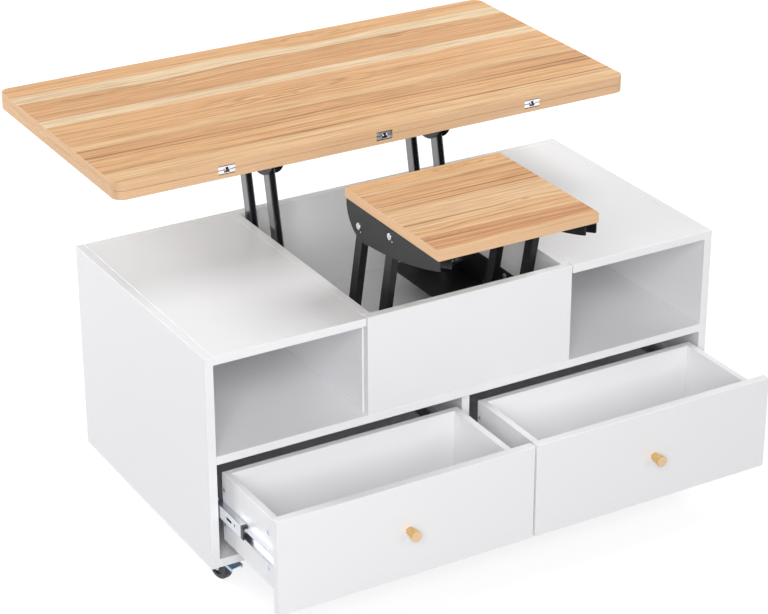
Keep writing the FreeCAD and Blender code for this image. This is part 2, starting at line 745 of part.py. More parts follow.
def caster_fork(braked):
    """Pressed fork with its kingpin and its riveted axle, and pedal pivots where it has a brake."""
    nose_y = -caster_trail - fork_nose_r
    rear_y = -caster_trail + fork_nose_r
    heel = (fork_back_l, fork_low_z)
    toe = (nose_y, fork_low_z)
    shoulder = (fork_back_l, fork_low_z - fork_shoulder_h)
    nose_arc = arc((nose_y, axle_z), (-caster_trail, axle_z - fork_nose_r), (rear_y, axle_z))
    outline = [line(heel, toe), line(toe, (nose_y, axle_z)), nose_arc, line((rear_y, axle_z), shoulder),
               line(shoulder, heel)]
    cheek = plate_yz(outline, cheek_in_x, cheek_out_x)
    roof = block(-cheek_out_x, cheek_out_x, nose_y, fork_back_l, fork_low_z, fork_high_z)
    disc = rod_z(fork_disc_r, fork_low_z, fork_high_z, 0, 0)
    kingpin = rod_z(kingpin_r, fork_low_z, caster_h - fit_gap, 0, 0)
    head_x = cheek_out_x + axle_head_t
    axle = rod_x(axle_r, -head_x, head_x, -caster_trail, axle_z)
    pieces = both_sides(cheek) + [roof, disc, kingpin, axle]
    pieces += both_sides(rod_x(axle_head_r, cheek_out_x, head_x, -caster_trail, axle_z))
    if braked:
        stub_x = cheek_out_x + pedal_gap + pedal_t
        pieces += both_sides(rod_x(pedal_pivot_r, cheek_out_x, stub_x, pedal_pivot_y, pedal_pivot_z))
    return fused(*pieces)


def caster_wheel():
    """Solid wheel with rounded tread edges and dished sides."""
    half = wheel_w / 2
    wheel = rod_x(wheel_r, -half, half, -caster_trail, axle_z)
    wheel = wheel.makeFillet(wheel_edge_r, [edge for edge in wheel.Edges if edge.BoundBox.XLength < fit_gap])
    for x0, x1 in ((-half - overrun, -half + wheel_dish_depth), (half - wheel_dish_depth, half + overrun)):
        dish = rod_x(wheel_dish_r, x0, x1, -caster_trail, axle_z)
        wheel = wheel.cut(dish.cut(rod_x(wheel_hub_r, x0, x1, -caster_trail, axle_z)))
    return wheel.cut(rod_x(axle_r + fit_gap, -half - overrun, half + overrun, -caster_trail, axle_z))


def brake_pedal():
    """Tread plate between two ears that turn on the fork's stubs, pressed down."""
    ear_in_x = cheek_out_x + pedal_gap
    ear_out_x = ear_in_x + pedal_t
    tread_y = -pedal_tread_from
    tip_y = tread_y - pedal_tread_l
    half = pedal_ear_h / 2
    ear = block(ear_in_x, ear_out_x, tip_y, pedal_pivot_y, pedal_pivot_z - half, pedal_pivot_z + half)
    ear = fused(ear, rod_x(half, ear_in_x, ear_out_x, pedal_pivot_y, pedal_pivot_z))
    ear = ear.cut(rod_x(pedal_pivot_r + fit_gap, ear_in_x - overrun, ear_out_x + overrun,
                        pedal_pivot_y, pedal_pivot_z))
    high_z = pedal_pivot_z + half
    tread = block(-ear_out_x, ear_out_x, tip_y, tread_y, high_z - pedal_t, high_z)
    pedal = fused(*both_sides(ear), tread)
    pedal.rotate(FreeCAD.Vector(0, pedal_pivot_y, pedal_pivot_z), X_AXIS, pedal_slope_deg)
    return pedal


def swivelled(shape, turn_deg, place):
    """A caster's piece turned about the kingpin and moved to its corner."""
    shape.rotate(ORIGIN, Z_AXIS, turn_deg)
    return shape.translated(place)


def make_casters():
    """Four casters, the two at the front with brakes, each pair turned alike but to opposite sides."""
    plates = []
    swivel_x = half_w - caster_inset_x
    swivel_y = half_d - caster_inset_y
    rows = (("front", -swivel_y, front_caster_turn_deg), ("rear", swivel_y, rear_caster_turn_deg))
    for row, y, turn_deg in rows:
        braked = row == "front"
        for side, way in (("left", -1), ("right", 1)):
            place = FreeCAD.Vector(way * swivel_x, y, 0)
            turn = -way * turn_deg
            corner = "%s_%s" % (row, side)
            plates.append(caster_plate().translated(place))
            save("caster_fork_%s" % corner, swivelled(caster_fork(braked), turn, place))
            save("caster_wheel_%s" % corner, swivelled(caster_wheel(), turn, place))
            if braked:
                save("brake_pedal_%s" % side, swivelled(brake_pedal(), turn, place))
    save("caster_plates", *plates)


os.makedirs("parts", exist_ok=True)
make_cabinet()
make_slides()
make_drawers()
make_top()
make_hinges()
make_lift(top_lift)
make_lift(platform_lift)
make_platform()
make_lift_base()
make_platform_base()
make_foot_bolts()
make_casters()
print("the top rises %.1f mm and moves back %.1f mm" % (lift_rise, lift_back))
print("leaf hinge at y %.3f, z %.3f, before the origin's shift of %.3f" % (hinge_y, hinge_z, origin_y))
for lift in (top_lift, platform_lift):
    for heading, places in (("heads", lift.heads), ("feet", lift.feet)):
        print(lift.name, heading, ["%.3f, %.3f" % place for place in places])
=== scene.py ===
# %% [markdown]
# # A lift-top coffee table, dressed for the studio
# The table is a white cabinet on casters. Its oak-print top lifts up and back on black arms, a small
# platform lifts up and forward, and two drawers slide out. Every board, arm and screw comes from the
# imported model, so this lesson makes no shape twice: it gives each piece its real finish, adds the few
# small details that are too fine for the model, and sets up the light and the camera.

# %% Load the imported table
import json
import math

import bmesh
import bpy
from mathutils import Matrix, Quaternion, Vector


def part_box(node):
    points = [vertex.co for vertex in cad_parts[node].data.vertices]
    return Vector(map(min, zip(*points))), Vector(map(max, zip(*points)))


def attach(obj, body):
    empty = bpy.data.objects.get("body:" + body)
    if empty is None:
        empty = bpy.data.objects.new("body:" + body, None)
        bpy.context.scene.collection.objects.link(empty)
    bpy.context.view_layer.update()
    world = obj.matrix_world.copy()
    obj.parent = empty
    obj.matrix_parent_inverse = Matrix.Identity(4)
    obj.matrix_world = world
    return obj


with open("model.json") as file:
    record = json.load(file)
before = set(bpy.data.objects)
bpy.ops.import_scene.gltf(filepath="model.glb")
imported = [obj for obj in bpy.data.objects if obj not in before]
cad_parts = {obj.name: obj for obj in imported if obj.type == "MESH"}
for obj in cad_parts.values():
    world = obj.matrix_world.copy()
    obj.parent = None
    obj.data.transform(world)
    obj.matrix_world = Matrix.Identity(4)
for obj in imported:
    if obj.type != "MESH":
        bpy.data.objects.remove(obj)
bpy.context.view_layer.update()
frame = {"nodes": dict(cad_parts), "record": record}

nodes = frame["nodes"]
scene = bpy.context.scene
scene.view_settings.view_transform = "Standard"

# %% [markdown]
# ## Small helpers
# A finish is a graph of nodes, so one helper adds a node, sets it, links it and hands back the output that
# is wanted next. Colours are written as the sRGB hex values that a paint chart gives, and Blender works in
# linear light, so one function turns one into the other. Patterns are thought of in millimetres:
# `per_metre` turns the size of one grain into how many of them fit in a metre, which is what a texture's
# scale asks for.

# %% Helpers for colours, sizes and nodes
MM = 0.001
MIX_A, MIX_B, MIX_RESULT = 6, 7, 2


def linear(hex_colour):
    """An sRGB hex colour as linear red, green, blue and an alpha of one."""
    values = [int(hex_colour[place:place + 2], 16) / 255 for place in (1, 3, 5)]
    return [v / 12.92 if v <= 0.04045 else ((v + 0.055) / 1.055) ** 2.4 for v in values] + [1.0]


def per_metre(*sizes_mm):
    """How many details of that size fit in a metre, for one size or one for each direction."""
    scales = [1 / (size * MM) for size in sizes_mm]
    return scales if len(scales) > 1 else scales[0]


def wire(tree, node, inputs):
    """Link a node's inputs, or set them, by name or number."""
    for socket, value in dict(inputs).items():
        if isinstance(value, bpy.types.NodeSocket):
            tree.links.new(value, node.inputs[socket])
        else:
            node.inputs[socket].default_value = value


def add(tree, kind, inputs=(), out=0, **options):
    """Add one node with its options and inputs, and hand back one of its outputs."""
    node = tree.nodes.new("ShaderNode" + kind)
    for option, value in options.items():
        setattr(node, option, value)
    wire(tree, node, inputs)
    return node.outputs[out]


def start_finish(name):
    """A new material and its node tree."""
    material = bpy.data.materials.new(name)
    material.use_nodes = True
    return material, material.node_tree


def close_finish(material, inputs):
    """Wire the shader: what varies is linked, and what is the same all over is set on its sockets."""
    tree = material.node_tree
    wire(tree, tree.nodes["Principled BSDF"], inputs)
    print("made", material.name, "with", len(tree.nodes), "nodes")
    return material


print("mid grey is", round(linear("#808080")[0], 3), "in linear light")

# %% [markdown]
# ## The camera
# The photograph was taken from the front left, a little above the raised top, with a long lens. The
# camera's place was found by matching the cabinet's corners, so here it is a place, two angles and a
# slight roll. A long lens from far away keeps the table's parallel edges nearly parallel.

# %% Camera
CAMERA_PLACE = Vector((-1.9153, -3.2985, 2.1369))
CAMERA_HEADING_DEG = 30.08
CAMERA_DOWN_DEG = 25.765
CAMERA_ROLL_DEG = -0.096
CAMERA_LENS_MM = 112.87
SENSOR_MM = 36.0

heading = math.radians(CAMERA_HEADING_DEG)
down = math.radians(CAMERA_DOWN_DEG)
look = Vector((math.sin(heading) * math.cos(down), math.cos(heading) * math.cos(down), -math.sin(down)))
camera = bpy.data.objects.new("camera", bpy.data.cameras.new("camera"))
camera.data.sensor_width = SENSOR_MM
camera.data.lens = CAMERA_LENS_MM
camera.location = CAMERA_PLACE
camera.rotation_mode = "QUATERNION"
camera.rotation_quaternion = (look.to_track_quat("-Z", "Y")
                              @ Quaternion((0, 0, 1), math.radians(CAMERA_ROLL_DEG)))
scene.collection.objects.link(camera)
scene.camera = camera
print("camera looks along", [round(v, 3) for v in look])

# %% [markdown]
# ## White melamine boards
# The cabinet and the drawers are chipboard faced with white melamine paper, pressed against a lightly
# pebbled steel sheet. That gives the eye a cool white and a satin sheen that blurs reflections. The front
# edges of the boards carry a strip of white plastic banding, which is a shade brighter and smoother. One
# finish can do both, since the way that the surface faces tells edge from face. The pebbles are half a
# millimetre wide, too fine for this picture, so they are drawn three times as coarse, with little height.

# %% White melamine
PEBBLE_MM = 1.6
PEBBLE_HEIGHT_MM = 0.05
CLOUD_MM = 220.0


def melamine_pressed_satin(name, band_axis):
    """Cool white paper under clear resin, with glossier banding on the edges that face along band_axis."""
    material, tree = start_finish(name)
    place = add(tree, "TexCoord", out="Object")
    facing = add(tree, "SeparateXYZ", {"Vector": add(tree, "TexCoord", out="Normal")}, band_axis)
    band = add(tree, "MapRange", {"Value": add(tree, "Math", {0: facing}, operation="ABSOLUTE"),
                                  "From Min": 0.75, "From Max": 0.9})
    pebble = add(tree, "TexNoise", {"Vector": place, "Scale": per_metre(PEBBLE_MM), "Detail": 2.0})
    cloud = add(tree, "TexNoise", {"Vector": place, "Scale": per_metre(CLOUD_MM), "Detail": 1.0})
    paper = add(tree, "Mix", {"Factor": cloud, MIX_A: linear("#F8F8FA"), MIX_B: linear("#F9F9FB")},
                MIX_RESULT, data_type="RGBA")
    colour = add(tree, "Mix", {"Factor": band, MIX_A: paper, MIX_B: linear("#FBFBFC")}, MIX_RESULT,
                 data_type="RGBA")
    gloss = add(tree, "MapRange", {"Value": band, "To Min": 0.3, "To Max": 0.22})
    bump = add(tree, "Bump", {"Height": pebble, "Strength": 0.12, "Distance": PEBBLE_HEIGHT_MM * MM})
    return close_finish(material, {"Base Color": colour, "Roughness": gloss, "Normal": bump, "IOR": 1.5})


white_carcass = melamine_pressed_satin("white_melamine_pressed_banded_fronts", "Y")
white_front = melamine_pressed_satin("white_melamine_pressed_banded_tops", "Z")

# %% [markdown]
# ## Oak-print boards
# The folding top and the platform are chipboard faced with a printed oak paper: long staves of tan, cream
# and brown that run along the table, with dark growth lines, arched figure and a few small knots. A
# picture of oak would be the usual way, but a drawn pattern has no seams and any size. So the staves are
# one colour ramp across the board, written as stave widths in millimetres. In a tree the grain flows round
# each knot and heart, so a few ovals push the whole pattern aside where they lie: staves, lines and fibres
# then bend together. All that wavers along the grain is noise that is stretched along X. The underside of the
# lower board and of the platform carries plain cream backing paper, which keeps such boards flat.

# %% The layout of the print, in millimetres from the middle along the board and from its back edge across
OAK = {"tan": "#EFBC88", "cream": "#FAE0B9", "brown": "#E5B07E", "light": "#F2C897", "russet": "#DBA071",
       "sand": "#F0C799", "pale": "#FBDFB4", "line": "#9C6839", "knot": "#8A5A2E", "edge": "#EEC59B",
       "edge_line": "#D6A473"}
TOP_STAVES_MM = (("tan", 54), ("cream", 38), ("brown", 90), ("cream", 32), ("tan", 106), ("light", 24),
                 ("brown", 48), ("tan", 56), ("light", 52))
TOP_LINES_MM = ((93, 0.3), (181, 0.4), (262, 0.25), (306, 0.4), (345, 0.6), (377, 0.75), (390, 0.7),
                (419, 0.3), (447, 0.85))
TOP_EDDIES_MM = ((-236, 112, 230, 50, -9), (118, 60, 170, 50, -13), (230, 116, 130, 30, -12),
                 (-52, 268, 200, 60, 14), (-164, 392, 210, 40, -6), (330, 320, 300, 40, 12))
TOP_HEARTS_MM = ((-52, 262, 260, 42), (330, 106, 240, 22), (-300, 110, 190, 22), (70, 355, 190, 13),
                 (116, 24, 150, 20))
TOP_KNOTS_MM = ((-52, 277, 4), (116, 26, 4))
PLATFORM_STAVES_MM = (("tan", 36), ("light", 12), ("brown", 52), ("brown", 25), ("sand", 83), ("tan", 20),
                      ("light", 10), ("russet", 49), ("light", 9))
PLATFORM_LINES_MM = ((33, 0.3), (52, 0.75), (78, 0.3), (103, 0.65), (120, 0.65), (190, 0.5), (219, 0.6),
                     (252, 0.35), (270, 0.4))
PLATFORM_EDDIES_MM = ((80, 188, 70, 30, 5), (-120, 220, 70, 24, -5))
PLATFORM_HEARTS_MM = ((60, 16, 120, 16), (-110, 246, 80, 14))
PLATFORM_KNOTS_MM = ((79, 188, 4),)
print("top staves add up to", sum(w for t, w in TOP_STAVES_MM), "mm and the platform's to",
      sum(w for t, w in PLATFORM_STAVES_MM), "mm")

# %% Ramps and ovals of the print
STAVE_BLUR_MM = 6.0
STAVE_RAG_MM = 22.0
LINE_WIDTH_MM = 3.6


def fill_ramp(ramp, stops):
    """Set a colour ramp's stops, which come as (share, colour) in order."""
    while len(ramp.elements) < len(stops):
        ramp.elements.new(1.0)
    for element, (share, colour) in zip(ramp.elements, stops):
        element.position = share
        element.color = colour


def stave_stops(staves_mm, depth_mm):
    """Two stops for each stave, drawn in from its edges by the blur between staves."""
    stops = []
    start = 0.0
    inset = STAVE_BLUR_MM / 2
    for tone, width in staves_mm:
        for place in (start + inset, start + width - inset):
            stops.append((place / depth_mm, linear(OAK[tone])))
        start += width
    return stops


def line_stops(lines_mm, depth_mm):
    """A grey peak at each growth line."""
    stops = []
    for place, strength in lines_mm:
        for shift, level in ((-LINE_WIDTH_MM, 0.0), (0.0, strength), (LINE_WIDTH_MM, 0.0)):
            stops.append(((place + shift) / depth_mm, [level] * 3 + [1.0]))
    return stops


def oval(tree, place, x, v, length, width):
    """How far a point lies from the middle of an oval, whose rim is at one; sizes are in millimetres."""
    near = add(tree, "Mapping", {"Vector": place, "Scale": per_metre(length, width) + [0],
                                 "Location": (-x / length, -v / width, 0)})
    return add(tree, "VectorMath", {0: near}, "Value", operation="LENGTH")


print("oak has", len(OAK), "tones")

# %% Grain that flows round the knots
DRIFT_MM = 5.0
DRIFT_RUN_MM = (380.0, 110.0, 110.0)


def flowing_grain(tree, place, eddies_mm):
    """Place across the board in metres, after each oval has pushed the grain aside."""
    across = add(tree, "SeparateXYZ", {"Vector": place}, "Y")
    drift = add(tree, "TexNoise", {"Vector": add(tree, "Mapping", {"Vector": place,
                                                                   "Scale": per_metre(*DRIFT_RUN_MM)}),
                                   "Scale": 1.0, "Detail": 1.0})
    push = add(tree, "MapRange", {"Value": drift, "To Min": -DRIFT_MM * MM, "To Max": DRIFT_MM * MM})
    flow = add(tree, "Math", {0: across, 1: push}, operation="ADD")
    for x, v, length, width, push_mm in eddies_mm:
        fall = add(tree, "MapRange", {"Value": oval(tree, place, x, v, length, width), "From Min": 1.0,
                                      "From Max": 0.0}, interpolation_type="SMOOTHSTEP")
        flow = add(tree, "Math", {0: fall, 1: push_mm * MM, 2: flow}, operation="MULTIPLY_ADD")
    return flow


print("grain drifts by", DRIFT_MM, "mm at most, apart from the eddies")

# %% Arched hearts and knots
ARCH_RATE = 24.0
KNOT_STRETCH = 3


def arched_hearts(tree, place, hearts_mm, waver):
    """Nested arches round each heart, which fade away from it."""
    total = 0.0
    for x, v, length, width in hearts_mm:
        radius = oval(tree, place, x, v, length, width)
        phase = add(tree, "Math", {0: radius, 1: ARCH_RATE, 2: waver}, operation="MULTIPLY_ADD")
        wave = add(tree, "Math", {0: phase}, operation="SINE")
        ring = add(tree, "MapRange", {"Value": wave, "From Min": 0.1, "From Max": 1.0})
        fade = add(tree, "MapRange", {"Value": radius, "From Min": 1.0, "From Max": 0.2},
                   interpolation_type="SMOOTHSTEP")
        total = add(tree, "Math", {0: ring, 1: fade, 2: total}, operation="MULTIPLY_ADD")
    return total


def knot_marks(tree, place, knots_mm):
    """Small dark eyes, longer along the grain than they are wide."""
    total = 0.0
    for x, v, size in knots_mm:
        radius = oval(tree, place, x, v, KNOT_STRETCH * size, size)
        eye = add(tree, "MapRange", {"Value": radius, "From Min": 1.0, "From Max": 0.2})
        total = add(tree, "Math", {0: eye, 1: total}, operation="MAXIMUM")
    return total


print("the top has", len(TOP_HEARTS_MM), "hearts and", len(TOP_KNOTS_MM), "knots")

# %% Paper on the faces, banding on the edges
FIBRE_MM = (70.0, 1.7, 1.7)
FIBRE_HEIGHT_MM = 0.05
STREAK_MM = (300.0, 6.0, 6.0)
EDGE_LINE_MM = (170.0, 170.0, 1.6)
ARCH_WAVER = 9.0
ARCH_DARKNESS = 0.34
KNOT_DARKNESS = 0.5


def printed_face(tree, place, layout, depth_mm):
    """Colour of the printed paper, and the fine fibre that also roughens it."""
    staves_mm, lines_mm, eddies_mm, hearts_mm, knots_mm = layout
    flow = flowing_grain(tree, place, eddies_mm)
    along = add(tree, "SeparateXYZ", {"Vector": place}, "X")
    grain = add(tree, "CombineXYZ", {"X": along, "Y": flow})
    fibre, streak = [add(tree, "TexNoise", {"Vector": add(tree, "Mapping", {"Vector": grain,
                                                                            "Scale": per_metre(*size)}),
                                            "Scale": 1.0, "Detail": 3.0, "Roughness": 0.6})
                     for size in (FIBRE_MM, STREAK_MM)]
    share = add(tree, "Math", {0: flow, 1: per_metre(depth_mm)}, operation="MULTIPLY")
    line = add(tree, "ValToRGB", {"Fac": share})
    fill_ramp(line.node.color_ramp, line_stops(lines_mm, depth_mm))
    rag = add(tree, "MapRange", {"Value": streak, "To Min": -STAVE_RAG_MM / depth_mm / 2,
                                 "To Max": STAVE_RAG_MM / depth_mm / 2})
    stave = add(tree, "ValToRGB", {"Fac": add(tree, "Math", {0: share, 1: rag}, operation="ADD")})
    fill_ramp(stave.node.color_ramp, stave_stops(staves_mm, depth_mm))
    waver = add(tree, "MapRange", {"Value": streak, "To Max": ARCH_WAVER})
    hearts = arched_hearts(tree, place, hearts_mm, waver)
    fine = add(tree, "MapRange", {"Value": fibre, "From Min": 0.42, "From Max": 0.74, "To Max": 0.42})
    broad = add(tree, "MapRange", {"Value": streak, "From Min": 0.46, "From Max": 0.74, "To Max": 0.5})
    pale = add(tree, "MapRange", {"Value": streak, "From Min": 0.46, "From Max": 0.26, "To Max": 0.6})
    worn = add(tree, "MapRange", {"Value": streak, "From Min": 0.3, "From Max": 0.55, "To Min": 0.5})
    dark = add(tree, "Math", {0: line, 1: worn, 2: fine}, operation="MULTIPLY_ADD")
    dark = add(tree, "Math", {0: dark, 1: broad}, operation="ADD")
    dark = add(tree, "Math", {0: hearts, 1: ARCH_DARKNESS, 2: dark}, operation="MULTIPLY_ADD",
               use_clamp=True)
    early = add(tree, "Mix", {"Factor": pale, MIX_A: stave, MIX_B: linear(OAK["pale"])}, MIX_RESULT,
                data_type="RGBA")
    wood = add(tree, "Mix", {"Factor": dark, MIX_A: early, MIX_B: linear(OAK["line"])}, MIX_RESULT,
               data_type="RGBA")
    eyes = add(tree, "Math", {0: knot_marks(tree, place, knots_mm), 1: KNOT_DARKNESS}, operation="MULTIPLY")
    return add(tree, "Mix", {"Factor": eyes, MIX_A: wood, MIX_B: linear(OAK["knot"])}, MIX_RESULT,
               data_type="RGBA"), fibre


def edge_banding(tree, place):
    """Paler banding with fine lines along the edge."""
    band = add(tree, "TexNoise", {"Vector": add(tree, "Mapping", {"Vector": place,
                                                                  "Scale": per_metre(*EDGE_LINE_MM)}),
                                  "Scale": 1.0, "Detail": 2.0})
    dark = add(tree, "MapRange", {"Value": band, "From Min": 0.45, "From Max": 0.8, "To Max": 0.7})
    return add(tree, "Mix", {"Factor": dark, MIX_A: linear(OAK["edge"]), MIX_B: linear(OAK["edge_line"])},
               MIX_RESULT, data_type="RGBA")


print("fibres are", FIBRE_MM[0], "mm long")

# %% Oak print for each board
def oak_print(name, board, layout, backing):
    """Printed oak paper, pale banding round the edges, and backing as the share of plain paper underneath."""
    material, tree = start_finish(name)
    low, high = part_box(board)
    spot = add(tree, "TexCoord", out="Object")
    place = add(tree, "Mapping", {"Vector": spot, "Scale": (1, -1, 1), "Location": (0, high.y, 0)})
    face, fibre = printed_face(tree, place, layout, (high.y - low.y) / MM)
    upward = add(tree, "SeparateXYZ", {"Vector": add(tree, "TexCoord", out="Normal")}, "Z")
    flat = add(tree, "MapRange", {"Value": add(tree, "Math", {0: upward}, operation="ABSOLUTE"),
                                  "From Min": 0.6, "From Max": 0.85})
    colour = add(tree, "Mix", {"Factor": flat, MIX_A: edge_banding(tree, place), MIX_B: face}, MIX_RESULT,
                 data_type="RGBA")
    under = add(tree, "MapRange", {"Value": upward, "From Min": -0.6, "From Max": -0.85, "To Max": backing})
    colour = add(tree, "Mix", {"Factor": under, MIX_A: colour, MIX_B: linear("#F3ECE0")}, MIX_RESULT,
                 data_type="RGBA")
    gloss = add(tree, "MapRange", {"Value": fibre, "To Min": 0.52, "To Max": 0.64})
    bump = add(tree, "Bump", {"Height": fibre, "Strength": 0.12, "Distance": FIBRE_HEIGHT_MM * MM})
    return close_finish(material, {"Base Color": colour, "Roughness": gloss, "Normal": bump, "IOR": 1.43})


TOP_LAYOUT = (TOP_STAVES_MM, TOP_LINES_MM, TOP_EDDIES_MM, TOP_HEARTS_MM, TOP_KNOTS_MM)
PLATFORM_LAYOUT = (PLATFORM_STAVES_MM, PLATFORM_LINES_MM, PLATFORM_EDDIES_MM, PLATFORM_HEARTS_MM,
                   PLATFORM_KNOTS_MM)
leaf_oak = oak_print("oak_print_leaf_both_faces", "top_flip_leaf", TOP_LAYOUT, 0.0)
lower_oak = oak_print("oak_print_lower_board_backed", "top_lower_board", TOP_LAYOUT, 1.0)
platform_oak = oak_print("oak_print_platform_backed", "platform_board", PLATFORM_LAYOUT, 1.0)

# %% [markdown]
# ## Turned beech knobs
# Each knob is a cone of beech, turned on a lathe and left with a thin clear coat. Beech is pale and pinkish,
# with short brown flecks along the grain, which here runs along the knob. Its forward end is drawn a shade
# paler than its sides.

# %% Beech
FLECK_MM = (0.9, 5.0, 0.9)
FLECK_HEIGHT_MM = 0.05


def beech_turned_lacquered():
    """Pale warm wood with short flecks and a soft sheen."""
    material, tree = start_finish("beech_turned_lacquered")
    grain = add(tree, "Mapping", {"Vector": add(tree, "TexCoord", out="Object"),
                                  "Scale": per_metre(*FLECK_MM)})
    fleck = add(tree, "TexNoise", {"Vector": grain, "Scale": 1.0, "Detail": 3.0})
    mark = add(tree, "MapRange", {"Value": fleck, "From Min": 0.45, "From Max": 0.75})
    side = add(tree, "Mix", {"Factor": mark, MIX_A: linear("#EABF78"), MIX_B: linear("#CB9A52")}, MIX_RESULT,
               data_type="RGBA")
    end = add(tree, "Mix", {"Factor": mark, MIX_A: linear("#F7D2A6"), MIX_B: linear("#E5B980")}, MIX_RESULT,
              data_type="RGBA")
    outward = add(tree, "SeparateXYZ", {"Vector": add(tree, "TexCoord", out="Normal")}, "Y")
    is_end = add(tree, "MapRange", {"Value": outward, "From Min": -0.6, "From Max": -0.9})
    colour = add(tree, "Mix", {"Factor": is_end, MIX_A: side, MIX_B: end}, MIX_RESULT, data_type="RGBA")
    bump = add(tree, "Bump", {"Height": fleck, "Strength": 0.15, "Distance": FLECK_HEIGHT_MM * MM})
    return close_finish(material, {"Base Color": colour, "Normal": bump, "IOR": 1.5, "Roughness": 0.42})


beech = beech_turned_lacquered()

# %% [markdown]
# ## Black lift arms and brackets
# The brackets and base angles are pressed steel with a black powder coat. The powder melts into a skin with
# a slight orange peel, so it mirrors a bright room softly: lit faces look dark grey, not black. The top's
# arms are smoother and carry a clear gloss coat over the black, so their flat sides mirror the room more.

# %% Powder-coated and enamelled steel
PEEL_MM = 2.0
PEEL_HEIGHT_MM = 0.06
SMEAR_MM = 35.0


def steel_coated_black(name, tones, rough, index, gloss_coat):
    """Black skin with a slight orange peel; rough is its (least, most) roughness."""
    material, tree = start_finish(name)
    place = add(tree, "TexCoord", out="Object")
    peel = add(tree, "TexNoise", {"Vector": place, "Scale": per_metre(PEEL_MM), "Detail": 2.0})
    smear = add(tree, "TexNoise", {"Vector": place, "Scale": per_metre(SMEAR_MM), "Detail": 2.0})
    colour = add(tree, "Mix", {"Factor": smear, MIX_A: linear(tones[0]), MIX_B: linear(tones[1])}, MIX_RESULT,
                 data_type="RGBA")
    gloss = add(tree, "MapRange", {"Value": smear, "To Min": rough[0], "To Max": rough[1]})
    bump = add(tree, "Bump", {"Height": peel, "Strength": 0.2, "Distance": PEEL_HEIGHT_MM * MM})
    return close_finish(material, {"Base Color": colour, "Roughness": gloss, "Normal": bump, "IOR": index,
                                   "Coat Weight": gloss_coat, "Coat Roughness": 0.12})


black_powder = steel_coated_black("steel_powder_coated_black", ("#101013", "#19191D"), (0.3, 0.45), 1.36, 0.0)
black_enamel = steel_coated_black("steel_enamelled_black", ("#27262C", "#302F36"), (0.2, 0.3), 1.6, 1.0)

# %% [markdown]
# ## Plated steel
# Bolts, screws, slides and casters are steel with a thin bright coat of zinc. Zinc is paler and bluer than
# bare steel, and its reflections are soft and a little cloudy. The knuckles of the hinges sit deep in their
# notches, so they get a dark metal that stands in for the notch's shade as painted shade.

# %% Zinc and nickel plating
CRYSTAL_MM = 2.5


def plated_steel(name, pale, dull, rough):
    """A thin bright metal coat, cloudy where its crystals turn; rough is its (least, most) roughness."""
    material, tree = start_finish(name)
    crystal = add(tree, "TexNoise", {"Vector": add(tree, "TexCoord", out="Object"),
                                     "Scale": per_metre(CRYSTAL_MM), "Detail": 3.0})
    colour = add(tree, "Mix", {"Factor": crystal, MIX_A: linear(pale), MIX_B: linear(dull)}, MIX_RESULT,
                 data_type="RGBA")
    gloss = add(tree, "MapRange", {"Value": crystal, "To Min": rough[0], "To Max": rough[1]})
    return close_finish(material, {"Base Color": colour, "Roughness": gloss, "Metallic": 1.0})


zinc = plated_steel("steel_zinc_plated", "#D9DCE1", "#C3C7CD", (0.22, 0.38))
blue_zinc = plated_steel("steel_zinc_plated_blue", "#BDD0EA", "#98ADCB", (0.2, 0.38))
# A dark metal for the hinges' knuckles: painted shade of the notches that they sit in.
knuckle_painted_shade_metal = plated_steel("steel_knuckle_painted_notch_shade", "#4A494B", "#3A393B", (0.15, 0.25))

# %% [markdown]
# ## Flush edge hinges
# Each hinge is two nickel-plated cups, one above the other, let into the edges of the two boards. Nickel is
# smooth and shiny, so the cups show the room's white, and what gives them shape is the shade in their gaps:
# the seam between them, the rim against the wood and the notch of the knuckle. That shade is painted into the
# colour of the faces that look forward, placed by how far a point lies from the seam and how deep it is
# behind the front. The faces that meet at the seam stay bright, since they show when the leaf is open.

# %% Nickel with painted shade in its gaps
# Where the painted shade lies: near the seam, beyond the rim's distance from it, and deeper than the notch's
# depth behind the front.
SEAM_MM = 0.9
RIM_MM = 6.0
NOTCH_MM = 1.0
PAINTED_SHADE_BLUR_MM = 0.5


def nickel_cups_with_painted_shade():
    """Bright nickel with painted shade at the seam, outside the rim and in the notch."""
    material, tree = start_finish("steel_nickel_plated_cups_painted_gap_shade")
    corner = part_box("top_flip_leaf")[0]
    place = add(tree, "TexCoord", out="Object")
    height = add(tree, "Math", {0: add(tree, "SeparateXYZ", {"Vector": place}, "Z"), 1: corner.z},
                 operation="SUBTRACT")
    off_seam = add(tree, "Math", {0: height}, operation="ABSOLUTE")
    depth = add(tree, "Math", {0: add(tree, "SeparateXYZ", {"Vector": place}, "Y"), 1: corner.y},
                operation="SUBTRACT")
    outward = add(tree, "SeparateXYZ", {"Vector": add(tree, "TexCoord", out="Normal")}, "Y")
    painted_gap_shade = 0.0
    # Painted shade in the seam, outside the rim and deep in the notch, whichever is darkest.
    for value, start, way in ((off_seam, SEAM_MM, -1), (off_seam, RIM_MM, 1), (depth, NOTCH_MM, 1)):
        dark = add(tree, "MapRange", {"Value": value, "From Min": start * MM,
                                      "From Max": (start + way * PAINTED_SHADE_BLUR_MM) * MM})
        painted_gap_shade = add(tree, "Math", {0: dark, 1: painted_gap_shade}, operation="MAXIMUM")
    # The painted shade goes only on faces that look forward, as a dark brown-grey in the colour.
    forward = add(tree, "MapRange", {"Value": outward, "From Min": -0.5, "From Max": -0.8, "To Max": painted_gap_shade})
    colour = add(tree, "Mix", {"Factor": forward, MIX_A: linear("#F0F0F2"), MIX_B: linear("#4A4440")},
                 MIX_RESULT, data_type="RGBA")
    return close_finish(material, {"Base Color": colour, "Metallic": 1.0, "Roughness": 0.14})


nickel = nickel_cups_with_painted_shade()

# %% [markdown]
# ## Slide rails with their end caps
# A drawer slide's middle rail carries a black moulded end cap that stops the balls from running out. The cap
# and the rail are one node of the model, so the finish looks at where a point lies: in the first few
# millimetres from the rail's front end it is plastic, behind that it is zinc with fine rolling lines.

# %% Rails and caps
CAP_MM = 8.0
ROLL_LINE_MM = (0.6, 60.0, 0.6)


